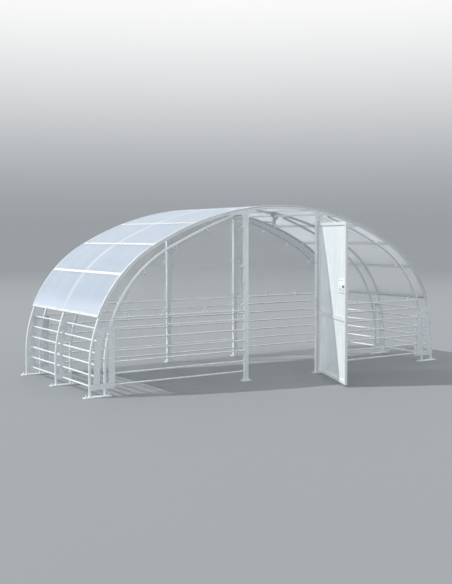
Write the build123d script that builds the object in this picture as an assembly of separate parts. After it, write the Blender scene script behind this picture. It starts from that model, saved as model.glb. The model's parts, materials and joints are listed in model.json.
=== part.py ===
"""Bike shelter: three arched double-tube ribs, curved translucent roof, railed walls, one hinged door."""
import os
from math import acos, asin, cos, degrees, hypot, radians, sin, sqrt

from build123d import *

# Ribs: plan position, outer arch and inner arch, all to tube centre lines
half_span = 2830
rib_spacing = 1035
outer_tube_d = 33.7
inner_tube_d = 33.7
tube_wall = 2.6
outer_leg = 300
outer_side_radius = 1675
outer_crown_radius = 4000
leg_gap = 195
inner_leg = 335
inner_radius_drop = 90
inner_turn_lead = 2.8
inner_end_x = 800
inner_end_gap = 2

# Posts and door opening
post_x = 600
post_width = 60
post_depth = 40
post_wall = 3
post_gap = 3

# Base plates
base_thickness = 10
base_width = 80
base_overhang = 80
anchor_hole_d = 14
anchor_inset = 28
post_base_length = 130
post_anchor_inset = 18

# Foot plates between the legs of a rib
plate_thickness = 3
foot_bottom = 90
foot_top = 826
foot_strip = 82
foot_middle_strip = 60
foot_inner_strip = 25
foot_tab = 70
foot_bar = 70
foot_edge_gap = 20
foot_bend_height = 560
flange_depth = 50
flange_overhang = 125

# Crown gussets
gusset_thickness = 4
gusset_arm_in = 442
gusset_arm_out = 850
gusset_arm_depth = 50
gusset_height = 197
gusset_margin = 5
gusset_corner = 40
gusset_hook_x = 695
gusset_hook_rise = 105
gusset_shoulder = 30
tail_length = 35

# Tie bar in the middle rib
tie_d = 21.3
tie_rise = 52

# Roof: sheet, strips, purlins and trims
roof_overhang = 15
sheet_thickness = 10
eave_angle = 22.5
purlin_size = 25
purlin_wall = 2
purlin_angles = (24.0, 42.5, 61.0, 70.2)
crown_purlin_drop = 44
strip_width = 40
strip_thickness = 2
sheet_joint = 4
trim_thickness = 2
trim_width = 28

# Wall rails
rail_d = 21.3
rail_wall = 2
rail_count = 6
face_rail_first = 130
face_rail_pitch = 136.5
top_rail_height = 930
side_rail_first = 106
side_rail_pitch = 139

# Lugs and clear panels
lug_rod_d = 8
lug_width = 60
lug_height = 58
lug_tip_width = 14
lug_tip_radius = 6
lug_weld = 1.5
rail_lug_x = (1233, 1827, 2340)
arch_lug_x = (1183, 1680, 2127)
post_lug_z = (1000, 1507, 2004)
panel_thickness = 4
panel_margin = 20
centre_panel_gap = 25

# Door, hung in front of the right-hand front post
door_open_angle = 67
door_stand_off = 6
door_bottom = 33
door_top_gap = 7
door_tube_width = 40
door_tube_depth = 30
door_tube_wall = 2
door_mid_rail = 845
door_sheet_thickness = 2
lock_height = 1265
lock_plate_length = 270
lock_plate_height = 165
lock_plate_thickness = 3
knob_d = 32
knob_length = 45
knob_chamfer = 4
knob_inset = 80
hinge_barrel_d = 16
hinge_pin_d = 9
hinge_pin_length = 38
hinge_pin_gap = 0.25
hinge_half = 45
hinge_gap = 0.5
hinge_clearance = 3
hinge_tab = 10
hinge_heights = (240, 1080, 1880)

outer_r = outer_tube_d / 2
inner_r = inner_tube_d / 2
front_y = -rib_spacing
face_y = front_y - outer_r
inner_leg_x = half_span - leg_gap
flange_x = inner_leg_x - flange_overhang
post_inner_x = post_x - post_width / 2
post_outer_x = post_x + post_width / 2
post_y = face_y + post_depth / 2
roof_half_depth = rib_spacing + roof_overhang
strip_end = roof_half_depth + trim_thickness - trim_width
hinge_x = post_x
hinge_y = face_y - hinge_clearance - hinge_barrel_d / 2
door_back = face_y - door_stand_off
door_free = -post_x
door_hung = hinge_x - hinge_barrel_d / 2 - hinge_clearance


class Arch:
    """Half of an arch: a straight leg, a side arc, and a flatter arc that goes on to the crown."""

    def __init__(self, leg_x, leg, side_radius, crown_radius, turn=None):
        self.leg_x, self.leg = leg_x, leg
        self.side_radius, self.crown_radius = side_radius, crown_radius
        self.side_x = leg_x - side_radius
        shift = crown_radius - side_radius
        self.turn = degrees(acos(self.side_x / shift)) if turn is None else turn
        self.crown_x = self.side_x - shift * cos(radians(self.turn))
        self.crown_z = leg - shift * sin(radians(self.turn))

    def at(self, angle, offset=0.0):
        """X and Z where the outward normal rises by this angle, moved out by offset."""
        radius, x, z = self.side_radius, self.side_x, self.leg
        if angle > self.turn:
            radius, x, z = self.crown_radius, self.crown_x, self.crown_z
        reach = radius + offset
        return x + reach * cos(radians(angle)), z + reach * sin(radians(angle))

    def angle_at_x(self, x):
        """The normal's angle where the centre line is at this distance from the middle."""
        angle = degrees(acos((x - self.side_x) / self.side_radius))
        if angle > self.turn:
            angle = degrees(acos((x - self.crown_x) / self.crown_radius))
        return angle

    def x_at_height(self, z):
        """Distance of the centre line from the middle at a height on the leg or the side arc."""
        if z <= self.leg:
            return self.leg_x
        return self.side_x + sqrt(self.side_radius ** 2 - (z - self.leg) ** 2)

    def arcs(self, start, end, offset=0.0):
        """The arcs from one normal angle to another, as lists of three X and Z points."""
        spans = []
        if start < self.turn:
            spans.append((start, min(end, self.turn)))
        if end > self.turn:
            spans.append((max(start, self.turn), end))
        return [[self.at(angle, offset) if angle != self.turn else self.at(self.turn, offset)
                 for angle in (first, (first + last) / 2, last)] for first, last in spans]


def radius_through(centre, side_radius, turn, point):
    """Radius of the arc that leaves a side arc smoothly at the turn and passes through a point."""
    leave = (side_radius * cos(radians(turn)), side_radius * sin(radians(turn)))
    away = (point[0] - centre[0], point[1] - centre[1])
    rise = (away[0] * leave[0] + away[1] * leave[1]) / side_radius
    chord = hypot(away[0] - leave[0], away[1] - leave[1])
    return chord ** 2 / (2 * (side_radius - rise))


outer = Arch(half_span, outer_leg, outer_side_radius, outer_crown_radius)
crown_top = outer.crown_z + outer_crown_radius
inner_end = outer.at(outer.angle_at_x(inner_end_x), -(outer_r + inner_r + inner_end_gap))
inner_side_radius = outer_side_radius - inner_radius_drop
inner_turn = outer.turn + inner_turn_lead
inner_centre = (inner_leg_x - inner_side_radius, inner_leg)
inner = Arch(inner_leg_x, inner_leg, inner_side_radius,
             radius_through(inner_centre, inner_side_radius, inner_turn, inner_end), inner_turn)

post_top = outer.at(outer.angle_at_x(post_outer_x), -outer_r)[1] - post_gap
gusset_bottom = crown_top - gusset_height
tail_bottom = gusset_bottom - tail_length
tie_height = tail_bottom + tie_rise
crown_purlin_height = outer.at(outer.angle_at_x(post_x))[1] - crown_purlin_drop
centre_panel_top = gusset_bottom - centre_panel_gap
door_top = gusset_bottom - door_top_gap


def upright(points):
    """X and Z pairs as points in the plane of a rib."""
    return [(x, 0, z) for x, z in points]


def joined(lines):
    """Lines and arcs as one wire."""
    return Wire([edge for line in lines for edge in line.edges()])


def to_left(shape):
    return mirror(shape, Plane.YZ)


def to_back(shape):
    return mirror(shape, Plane.XZ)


def both_sides(shapes):
    """The right-hand shapes with their left-hand twins."""
    return list(shapes) + [to_left(shape) for shape in shapes]


def save(name, shapes):
    """Write the solids of one or more shapes to one file."""
    shapes = shapes if isinstance(shapes, (list, tuple)) else [shapes]
    solids = [solid for shape in shapes for solid in shape.solids()]
    export_step(solids[0] if len(solids) == 1 else Compound(children=solids), f"parts/{name}.step")


def box(x0, x1, y0, y1, z0, z1):
    return Pos((x0 + x1) / 2, (y0 + y1) / 2, (z0 + z1) / 2) * Box(x1 - x0, y1 - y0, z1 - z0)


def tube_along(path, start, diameter, wall):
    """A round tube swept along a path that rises straight up from its start."""
    section = Circle(diameter / 2)
    if wall < diameter / 2:
        section -= Circle(diameter / 2 - wall)
    return sweep(Plane(origin=start, z_dir=(0, 0, 1)) * section, path=path)


def tube_between(start, end, diameter, wall):
    """A straight round tube."""
    run = Vector(*end) - Vector(*start)
    ring = Circle(diameter / 2) - Circle(diameter / 2 - wall)
    return extrude(Plane(origin=start, z_dir=run) * ring, run.length, dir=run.normalized())


def plate(outline, y, thickness):
    """A plate cut from an outline in X and Z, from y on towards +Y."""
    face = Plane.XZ * make_face(outline)
    return Pos(0, y, 0) * extrude(face, thickness, dir=(0, 1, 0))


def arc_band(low, high, y0, y1, start, end, arch=outer):
    """A curved strip between two offsets from an arch's centre line."""
    band = None
    for inside, outside in zip(arch.arcs(start, end, low), arch.arcs(start, end, high)):
        outline = [ThreePointArc(*inside), Line(inside[2], outside[2]),
                   ThreePointArc(*reversed(outside)), Line(outside[0], inside[0])]
        piece = plate(outline, y0, y1 - y0)
        band = piece if band is None else band + piece
    return band


def crown_band(low, high, y0, y1, left_end, right_end):
    """A curved strip that runs over the crown, between a left-hand and a right-hand angle."""
    return arc_band(low, high, y0, y1, right_end, 90) + to_left(arc_band(low, high, y0, y1, left_end, 90))


def outer_arch(y):
    """One bent tube from foot to foot."""
    foot = (half_span, 0, base_thickness)
    side = [Line(foot, (half_span, 0, outer_leg)), ThreePointArc(*upright(outer.arcs(0, outer.turn)[0]))]
    join = outer.at(outer.turn)
    crown = ThreePointArc((join[0], 0, join[1]), (0, 0, crown_top), (-join[0], 0, join[1]))
    path = joined(side + [crown] + [to_left(line) for line in side])
    return Pos(0, y, 0) * tube_along(path, foot, outer_tube_d, tube_wall)


def inner_arch(y, wall=tube_wall):
    """The right-hand inner tube, from its foot to the crown gusset."""
    foot = (inner_leg_x, 0, base_thickness)
    run = [Line(foot, (inner_leg_x, 0, inner_leg))]
    run += [ThreePointArc(*upright(arc)) for arc in inner.arcs(0, inner.angle_at_x(inner_end[0]))]
    return Pos(0, y, 0) * tube_along(joined(run), foot, inner_tube_d, wall)


def front_post():
    """The right-hand front post, its front face in the plane of the plates."""
    hollow = Rectangle(post_width - 2 * post_wall, post_depth - 2 * post_wall)
    profile = Rectangle(post_width, post_depth) - hollow
    return Pos(post_x, post_y, base_thickness) * extrude(profile, post_top - base_thickness)


def base_plate(x0, x1, y, inset):
    """A flat bar with an anchor hole near each end."""
    bar = box(x0, x1, y - base_width / 2, y + base_width / 2, 0, base_thickness)
    for x in (x0 + inset, x1 - inset):
        bar -= Pos(x, y, base_thickness / 2) * Cylinder(anchor_hole_d / 2, base_thickness * 2)
    return bar


def foot_plate(back_y, flanged):
    """The slotted plate that ties two legs; in the end ribs it goes on past the inner leg."""
    inner_edge = flange_x if flanged else inner_leg_x - inner_r

    def beside_leg(z, inset):
        return (outer.x_at_height(z) - inset, z)

    free_edge = outer_r + foot_edge_gap
    heights = (foot_bottom + foot_tab, foot_bend_height, foot_top - foot_tab)
    outline = [(inner_edge, foot_bottom), beside_leg(foot_bottom, 0), beside_leg(heights[0], 0)]
    outline += [beside_leg(z, free_edge) for z in heights]
    outline += [beside_leg(heights[2], 0), beside_leg(foot_top, 0), (inner_edge, foot_top)]
    front = back_y - plate_thickness
    body = plate(Polyline(*outline, close=True), front, plate_thickness)
    slot_in = inner_edge + (foot_strip if flanged else foot_inner_strip)
    slot_edge = free_edge + (foot_strip if flanged else foot_middle_strip)
    low, high = foot_bottom + foot_bar, foot_top - foot_bar
    slot = [(slot_in, low)] + [beside_leg(z, slot_edge) for z in (low, foot_bend_height, high)]
    slot += [(slot_in, high)]
    body -= plate(Polyline(*slot, close=True), front - plate_thickness, plate_thickness * 3)
    if flanged:
        body += box(flange_x, flange_x + plate_thickness, front, front + flange_depth, foot_bottom, foot_top)
    return body


def gusset(back_y, tailed):
    """The stepped crown plate between post, outer arch and inner arch."""
    bottom = tail_bottom if tailed else gusset_bottom
    top = outer_r - gusset_margin
    angles = [outer.angle_at_x(x) for x in (gusset_arm_in, (gusset_arm_in + gusset_arm_out) / 2, gusset_arm_out)]
    along_top = [outer.at(angle, top) for angle in angles]
    arm_under = along_top[0][1] - gusset_arm_depth
    tube_seats = [inner.at(inner.angle_at_x(x)) for x in (gusset_arm_out, inner_end[0])]
    corner_x = post_inner_x - gusset_corner
    outline = [
        ThreePointArc(*along_top),
        Polyline(along_top[2], *tube_seats, (gusset_hook_x, gusset_bottom + gusset_hook_rise),
                 (post_outer_x, gusset_bottom + gusset_shoulder), (post_outer_x, bottom),
                 (post_inner_x, bottom), (post_inner_x, arm_under - gusset_corner)),
        RadiusArc((post_inner_x, arm_under - gusset_corner), (corner_x, arm_under), gusset_corner),
        Polyline((corner_x, arm_under), (along_top[0][0], arm_under), along_top[0]),
    ]
    return plate(outline, back_y - gusset_thickness, gusset_thickness)


def lug(x, y, z, turn):
    """A bent-rod loop that stands on its seat at x, z; at turn 0 it points up."""
    tip = lug_height - lug_rod_d / 2
    foot = -lug_rod_d
    path = FilletPolyline((-lug_width / 2, 0, foot), (-lug_tip_width / 2, 0, tip),
                          (lug_tip_width / 2, 0, tip), (lug_width / 2, 0, foot), radius=lug_tip_radius)
    rod = sweep(Plane(origin=path @ 0, z_dir=path % 0) * Circle(lug_rod_d / 2), path=path)
    rod -= box(-lug_width, lug_width, -lug_rod_d, lug_rod_d, foot * 2, -lug_weld)
    return Pos(x, y, z) * Rot(0, turn, 0) * rod


def seated(loops, carriers):
    """Loops cut back to the surface of what carries them."""
    for carrier in carriers:
        loops = [loop - carrier for loop in loops]
    return loops


def window_lugs(y):
    """Lugs round a right-hand quarter window: on the top rail, the inner arch and the post."""
    loops = [lug(x, y, top_rail_height + rail_d / 2, 0) for x in rail_lug_x]
    for x in arch_lug_x:
        angle = inner.angle_at_x(x)
        seat = inner.at(angle, -inner_r)
        loops.append(lug(seat[0], y, seat[1], -90 - angle))
    loops += [lug(post_outer_x, y, z, 90) for z in post_lug_z]
    return loops


def quarter_panel(y):
    """The clear panel of a right-hand quarter window."""
    low = top_rail_height + rail_d / 2 + panel_margin
    left = post_outer_x + panel_margin
    inset = -(inner_r + panel_margin)
    start = degrees(asin((low - inner.leg) / (inner.side_radius + inset)))
    end = degrees(acos((left - inner.crown_x) / (inner.crown_radius + inset)))
    arcs = inner.arcs(start, end, inset)
    outline = [Line((left, low), arcs[0][0])] + [ThreePointArc(*arc) for arc in arcs]
    outline += [Line(arcs[-1][2], (left, low))]
    return plate(outline, y, panel_thickness)


def face_rails(y):
    """The straight rails of a right-hand quarter wall, from the foot plate to the post."""
    heights = [face_rail_first + i * face_rail_pitch for i in range(rail_count)]
    return [tube_between((post_outer_x, y, z), (flange_x, y, z), rail_d, rail_wall) for z in heights]


def top_rail(y):
    """The rail under the clear panel, from the post to the inner arch, its end coped to the arch."""
    start, end = (post_outer_x, y, top_rail_height), (inner.x_at_height(top_rail_height), y, top_rail_height)
    return tube_between(start, end, rail_d, rail_wall) - inner_arch(y, inner_tube_d)


def side_rails():
    """The rails of the right-hand side wall, in two bays between the foot plates."""
    bays = ((front_y - outer_r, -outer_r - plate_thickness), (-outer_r, rib_spacing + outer_r))
    rails = []
    for i in range(rail_count):
        z = side_rail_first + i * side_rail_pitch
        x = outer.x_at_height(z) - outer_r - foot_edge_gap - foot_strip / 2
        rails += [tube_between((x, y0, z), (x, y1, z), rail_d, rail_wall) for y0, y1 in bays]
    return rails


def roof_angle(width, angle):
    """The angle that a width takes up on the roof near a normal angle."""
    return degrees(width / (outer_side_radius if angle < outer.turn else outer_crown_radius))


def purlins():
    """Square roof tubes between the ribs on the right-hand side, and the pair at the crown gussets."""
    bays = ((front_y + outer_r, -outer_r), (outer_r, rib_spacing - outer_r))
    hollow = purlin_size / 2 - purlin_wall
    bars = []
    for angle in purlin_angles:
        half = roof_angle(purlin_size / 2, angle)
        bore = roof_angle(hollow, angle)
        low, high = outer_r - purlin_size, outer_r
        for y0, y1 in bays:
            bar = arc_band(low, high, y0, y1, angle - half, angle + half)
            bar -= arc_band(low + purlin_wall, high - purlin_wall, y0, y1, angle - bore, angle + bore)
            bars.append(bar)
    section = Rectangle(purlin_size, purlin_size) - Rectangle(2 * hollow, 2 * hollow)
    back_face = post_y + post_depth / 2
    for y0, y1 in ((back_face, -outer_r - gusset_thickness), (-outer_r, -back_face)):
        start = Plane(origin=(post_x, y0, crown_purlin_height), x_dir=(1, 0, 0), z_dir=(0, 1, 0))
        bars.append(extrude(start * section, y1 - y0, dir=(0, 1, 0)))
    return bars


def cover_strips():
    """Flat strips screwed down over the right-hand purlins."""
    strips = []
    for angle in purlin_angles[1:] + (outer.angle_at_x(post_x),):
        half = roof_angle(strip_width / 2, angle)
        low = outer_r + sheet_thickness
        strips.append(arc_band(low, low + strip_thickness, -strip_end, strip_end, angle - half, angle + half))
    return strips


def edge_trim():
    """The angle strip that caps the front edge of the roof."""
    low, high = outer_r, outer_r + sheet_thickness
    front = -roof_half_depth - trim_thickness
    cap = crown_band(high, high + trim_thickness, front, front + trim_width, eave_angle, eave_angle)
    web = crown_band(low, high, front, -roof_half_depth, eave_angle, eave_angle)
    return cap + web


def eave_trim():
    """The angle strip that closes the right-hand eave."""
    low, high = outer_r, outer_r + sheet_thickness
    wide, thin = (degrees(size / outer_side_radius) for size in (trim_width, trim_thickness))
    cap = arc_band(high, high + trim_thickness, -strip_end, strip_end, eave_angle, eave_angle + wide)
    reach = roof_half_depth + trim_thickness
    web = arc_band(low, high + trim_thickness, -reach, reach, eave_angle - thin, eave_angle)
    return cap + web


def roof_sheets():
    """Lengths of multiwall sheet that meet under cover strips: the right-hand one and the crown one."""
    low, high = outer_r, outer_r + sheet_thickness
    meet = purlin_angles[-1]
    half = roof_angle(sheet_joint / 2, meet)
    side_sheet = arc_band(low, high, -roof_half_depth, roof_half_depth, eave_angle, meet - half)
    crown_sheet = crown_band(low, high, -roof_half_depth, roof_half_depth, meet + half, meet + half)
    return side_sheet, crown_sheet


def centre_window(y):
    """The clear panel between the back posts, with its lugs and rails."""
    edge = post_inner_x - panel_margin
    low = top_rail_height + rail_d / 2
    panel = box(-edge, edge, y + lug_rod_d / 2, y + lug_rod_d / 2 + panel_thickness,
                low + panel_margin, centre_panel_top)
    heights = [face_rail_first + i * face_rail_pitch for i in range(rail_count)] + [top_rail_height]
    rails = [tube_between((-post_inner_x, y, z), (post_inner_x, y, z), rail_d, rail_wall) for z in heights]
    loops = [lug(post_inner_x, y, z, -90) for z in post_lug_z]
    return panel, rails, both_sides(loops) + [lug(0, y, low, 0)]


def swung(shape):
    """A door piece modelled shut, turned about the hinge line to the angle at which the door stands."""
    axis = Axis((hinge_x, hinge_y, 0), (0, 0, 1))
    return shape.rotate(axis, door_open_angle)


def door_frame():
    """Two stiles and three rails of rectangular tube."""
    y = door_back - door_tube_depth / 2
    hollow = Rectangle(door_tube_width - 2 * door_tube_wall, door_tube_depth - 2 * door_tube_wall)
    profile = Rectangle(door_tube_width, door_tube_depth) - hollow
    half = door_tube_width / 2
    stiles = [Pos(x, y, door_bottom) * extrude(profile, door_top - door_bottom)
              for x in (door_free + half, door_hung - half)]
    inside = (door_free + door_tube_width, door_hung - door_tube_width)
    rails = []
    for z in (door_bottom + half, door_mid_rail, door_top - half):
        start = Plane(origin=(inside[0], y, z), x_dir=(0, 0, 1), z_dir=(1, 0, 0))
        rails.append(extrude(start * profile, inside[1] - inside[0], dir=(1, 0, 0)))
    return stiles, rails


def door_sheets():
    """The lower and upper infill sheets, let in between the stiles and rails."""
    y = door_back - door_tube_depth / 2 - door_sheet_thickness / 2
    half = door_tube_width / 2
    spans = ((door_bottom + door_tube_width, door_mid_rail - half),
             (door_mid_rail + half, door_top - door_tube_width))
    return [box(door_free + door_tube_width, door_hung - door_tube_width, y, y + door_sheet_thickness, z0, z1)
            for z0, z1 in spans]


def door_lock():
    """The lock plate on the inner side of the upper sheet, and the knobs on both sides."""
    sheet_in = door_back - door_tube_depth / 2 + door_sheet_thickness / 2
    sheet_out = sheet_in - door_sheet_thickness
    plate_in = sheet_in + lock_plate_thickness
    left = door_free + door_tube_width
    half = lock_plate_height / 2
    cover = box(left, left + lock_plate_length, sheet_in, plate_in, lock_height - half, lock_height + half)
    stem, neck, crown = knob_d / 4, knob_length / 2, knob_d * 0.4
    profile = Polyline((0, 0), (stem, 0), (stem, neck), (knob_d / 2, neck + knob_chamfer),
                       (knob_d / 2, knob_length - knob_chamfer), (crown, knob_length), (0, knob_length), close=True)
    turned = revolve(Plane.XZ * make_face(profile), Axis.Z)
    knobs = [Plane(origin=(door_free + knob_inset, y, lock_height), z_dir=(0, side, 0)).location * turned
             for y, side in ((plate_in, 1), (sheet_out, -1))]
    return cover, knobs


def hinge_halves():
    """Weld-on hinges: lower halves with the pin on the post, upper halves bored over it on the door."""
    fixed, turning = [], []
    radius, pin_r = hinge_barrel_d / 2, hinge_pin_d / 2
    bore = hinge_pin_length + hinge_pin_gap * 2
    for z in hinge_heights:
        barrel = Pos(hinge_x, hinge_y, z - hinge_half / 2) * Cylinder(radius, hinge_half)
        barrel += box(hinge_x - hinge_tab / 2, hinge_x + hinge_tab / 2, hinge_y, face_y, z - hinge_half, z)
        barrel += Pos(hinge_x, hinge_y, z + hinge_pin_length / 2) * Cylinder(pin_r, hinge_pin_length)
        fixed.append(barrel)
        low = z + hinge_gap
        cap = Pos(hinge_x, hinge_y, low + hinge_half / 2) * Cylinder(radius, hinge_half)
        cap += box(door_hung, hinge_x, door_back - hinge_tab, door_back, low, low + hinge_half)
        cap -= Pos(hinge_x, hinge_y, z + bore / 2) * Cylinder(pin_r + hinge_pin_gap, bore)
        turning.append(cap)
    return fixed, turning


os.makedirs("parts", exist_ok=True)

save("front_outer_arch", outer_arch(front_y))
save("middle_outer_arch", outer_arch(0))
save("back_outer_arch", outer_arch(rib_spacing))
front_inner = inner_arch(front_y)
save("front_inner_arches", both_sides([front_inner]))
save("middle_inner_arches", both_sides([inner_arch(0)]))
save("back_inner_arches", both_sides([to_back(front_inner)]))

posts = both_sides([front_post()])
save("front_posts", posts)
save("back_posts", [to_back(post) for post in posts])
half_base = post_base_length / 2
post_bases = both_sides([base_plate(post_x - half_base, post_x + half_base, post_y, post_anchor_inset)])
save("post_base_plates", post_bases + [to_back(base) for base in post_bases])
arch_bases = [base_plate(inner_leg_x - base_overhang, half_span + base_overhang, y, anchor_inset)
              for y in (front_y, 0, rib_spacing)]
save("arch_base_plates", both_sides(arch_bases))

front_feet = both_sides([foot_plate(face_y, True)])
save("front_foot_plates", front_feet)
save("middle_foot_plates", both_sides([foot_plate(-outer_r, False)]))
save("back_foot_plates", [to_back(foot) for foot in front_feet])
front_gussets = both_sides([gusset(face_y, False)])
save("front_gussets", front_gussets)
save("middle_gussets", both_sides([gusset(-outer_r, True)]))
save("back_gussets", [to_back(piece) for piece in front_gussets])
tie_y = tie_d / 2 - outer_r
save("tie_bar", tube_between((-post_x, tie_y, tie_height), (post_x, tie_y, tie_height), tie_d, rail_wall))

save("purlins", both_sides(purlins()))
save("cover_strips", both_sides(cover_strips()))
side_sheet, crown_sheet = roof_sheets()
save("left_roof_sheet", to_left(side_sheet))
save("main_roof_sheet", [crown_sheet, side_sheet])
front_trim = edge_trim()
save("front_roof_trim", front_trim)
save("back_roof_trim", to_back(front_trim))
save("eave_trims", both_sides([eave_trim()]))

right_rails = face_rails(front_y) + [top_rail(front_y)]
left_rails = [to_left(rail) for rail in right_rails]
save("front_right_rails", right_rails)
save("front_left_rails", left_rails)
save("back_right_rails", [to_back(rail) for rail in right_rails])
save("back_left_rails", [to_back(rail) for rail in left_rails])
right_side = side_rails()
save("right_side_rails", right_side)
save("left_side_rails", [to_left(rail) for rail in right_side])

window_carriers = [inner_arch(front_y), right_rails[-1], posts[0]]
front_lugs = both_sides(seated(window_lugs(front_y), window_carriers))
save("front_lugs", front_lugs)
right_panel = quarter_panel(front_y + lug_rod_d / 2)
left_panel = to_left(right_panel)
save("front_right_panel", right_panel)
save("front_left_panel", left_panel)
save("back_right_panel", to_back(right_panel))
save("back_left_panel", to_back(left_panel))

centre_panel, centre_rails, centre_lugs = centre_window(front_y)
save("back_centre_panel", to_back(centre_panel))
save("back_centre_rails", [to_back(rail) for rail in centre_rails])
back_lugs = front_lugs + seated(centre_lugs, posts + [centre_rails[-1]])
save("back_lugs", [to_back(loop) for loop in back_lugs])

stiles, rails = door_frame()
save("door_stiles", [swung(stile) for stile in stiles])
save("door_rails", [swung(rail) for rail in rails])
save("door_sheets", [swung(sheet) for sheet in door_sheets()])
lock_plate, knobs = door_lock()
save("door_lock_plate", swung(lock_plate))
save("door_knobs", [swung(knob) for knob in knobs])
post_hinges, door_hinges = hinge_halves()
save("post_hinges", post_hinges)
save("door_hinges", [swung(hinge) for hinge in door_hinges])
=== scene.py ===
"""Finishes, fastenings and studio for a bike shelter with a curved translucent roof and one hinged door."""
import json
import math
from functools import partial

import bpy
from bpy.props import FloatProperty, FloatVectorProperty, PointerProperty
from mathutils import Matrix, Vector


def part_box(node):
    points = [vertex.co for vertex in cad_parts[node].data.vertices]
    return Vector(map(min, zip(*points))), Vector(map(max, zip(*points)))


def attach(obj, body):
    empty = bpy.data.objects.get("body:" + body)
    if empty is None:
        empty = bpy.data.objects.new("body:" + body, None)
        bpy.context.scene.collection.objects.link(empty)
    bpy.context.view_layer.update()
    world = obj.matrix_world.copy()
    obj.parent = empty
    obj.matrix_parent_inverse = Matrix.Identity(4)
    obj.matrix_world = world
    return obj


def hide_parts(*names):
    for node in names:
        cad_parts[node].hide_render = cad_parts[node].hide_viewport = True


bl_info = {
    "name": "Bike Shelter",
    "version": (1, 0, 0),
    "blender": (4, 5, 0),
    "location": "View3D > Sidebar > Shelter",
    "description": "Finishes, bolts, screws, welds and studio for a bike shelter",
    "category": "Add Mesh",
}

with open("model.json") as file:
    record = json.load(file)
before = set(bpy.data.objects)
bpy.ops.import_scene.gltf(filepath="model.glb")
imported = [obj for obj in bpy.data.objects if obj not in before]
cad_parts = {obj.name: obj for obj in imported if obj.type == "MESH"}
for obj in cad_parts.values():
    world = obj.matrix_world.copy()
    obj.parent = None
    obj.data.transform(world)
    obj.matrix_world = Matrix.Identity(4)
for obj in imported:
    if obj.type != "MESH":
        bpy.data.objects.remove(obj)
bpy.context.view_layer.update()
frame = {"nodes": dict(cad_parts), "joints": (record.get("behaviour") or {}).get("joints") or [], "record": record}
NODES = frame["nodes"]
DOOR_JOINT = frame["joints"][0]
# Height of the photograph in pixels, in which the focal length is given.
PHOTO_HEIGHT = 584
# The two colour inputs and the colour output of a Mix node.
MIX_A, MIX_B, MIXED = 6, 7, 2
# Edges that turn further than this stay crisp.
SHARP = math.radians(50)
# Share of the sun that the roof sheet lets through to what stands under it.
SHEET_PASSES = 0.4
# Rails of each wall below the top rail, and screws along each half of an edge trim.
RAILS, TRIM_SCREWS = 6, 10
# Spaces between the door's rivets: across, up the lower sheet and up the upper sheet.
RIVETS_ACROSS, RIVETS_LOW, RIVETS_HIGH = 5, 4, 6
# Where the floor starts and ends to fade into the backdrop, and half its width, in metres.
FADE_START, FADE_END, FLOOR_REACH = 9.0, 40.0, 90.0


def linear(hex_value):
    """An sRGB hex colour as linear red, green, blue."""
    channels = [int(hex_value[i:i + 2], 16) / 255 for i in (1, 3, 5)]
    return tuple(c / 12.92 if c <= 0.04045 else ((c + 0.055) / 1.055) ** 2.4 for c in channels)


def colour(name, hex_value, description):
    return FloatVectorProperty(name=name, description=description, subtype="COLOR", size=3, min=0, max=1,
                               default=linear(hex_value))


def length(name, default, description):
    return FloatProperty(name=name, description=description, default=default, min=0, unit="LENGTH",
                         precision=4)


def lengths(name, defaults, description):
    return FloatVectorProperty(name=name, description=description, default=defaults, size=3, unit="LENGTH",
                               precision=4)


def angle(name, degrees, description):
    return FloatProperty(name=name, description=description, default=math.radians(degrees), subtype="ANGLE")


def angles(name, degrees, description):
    return FloatVectorProperty(name=name, description=description, default=[math.radians(a) for a in degrees],
                               size=3, unit="ROTATION")


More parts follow.
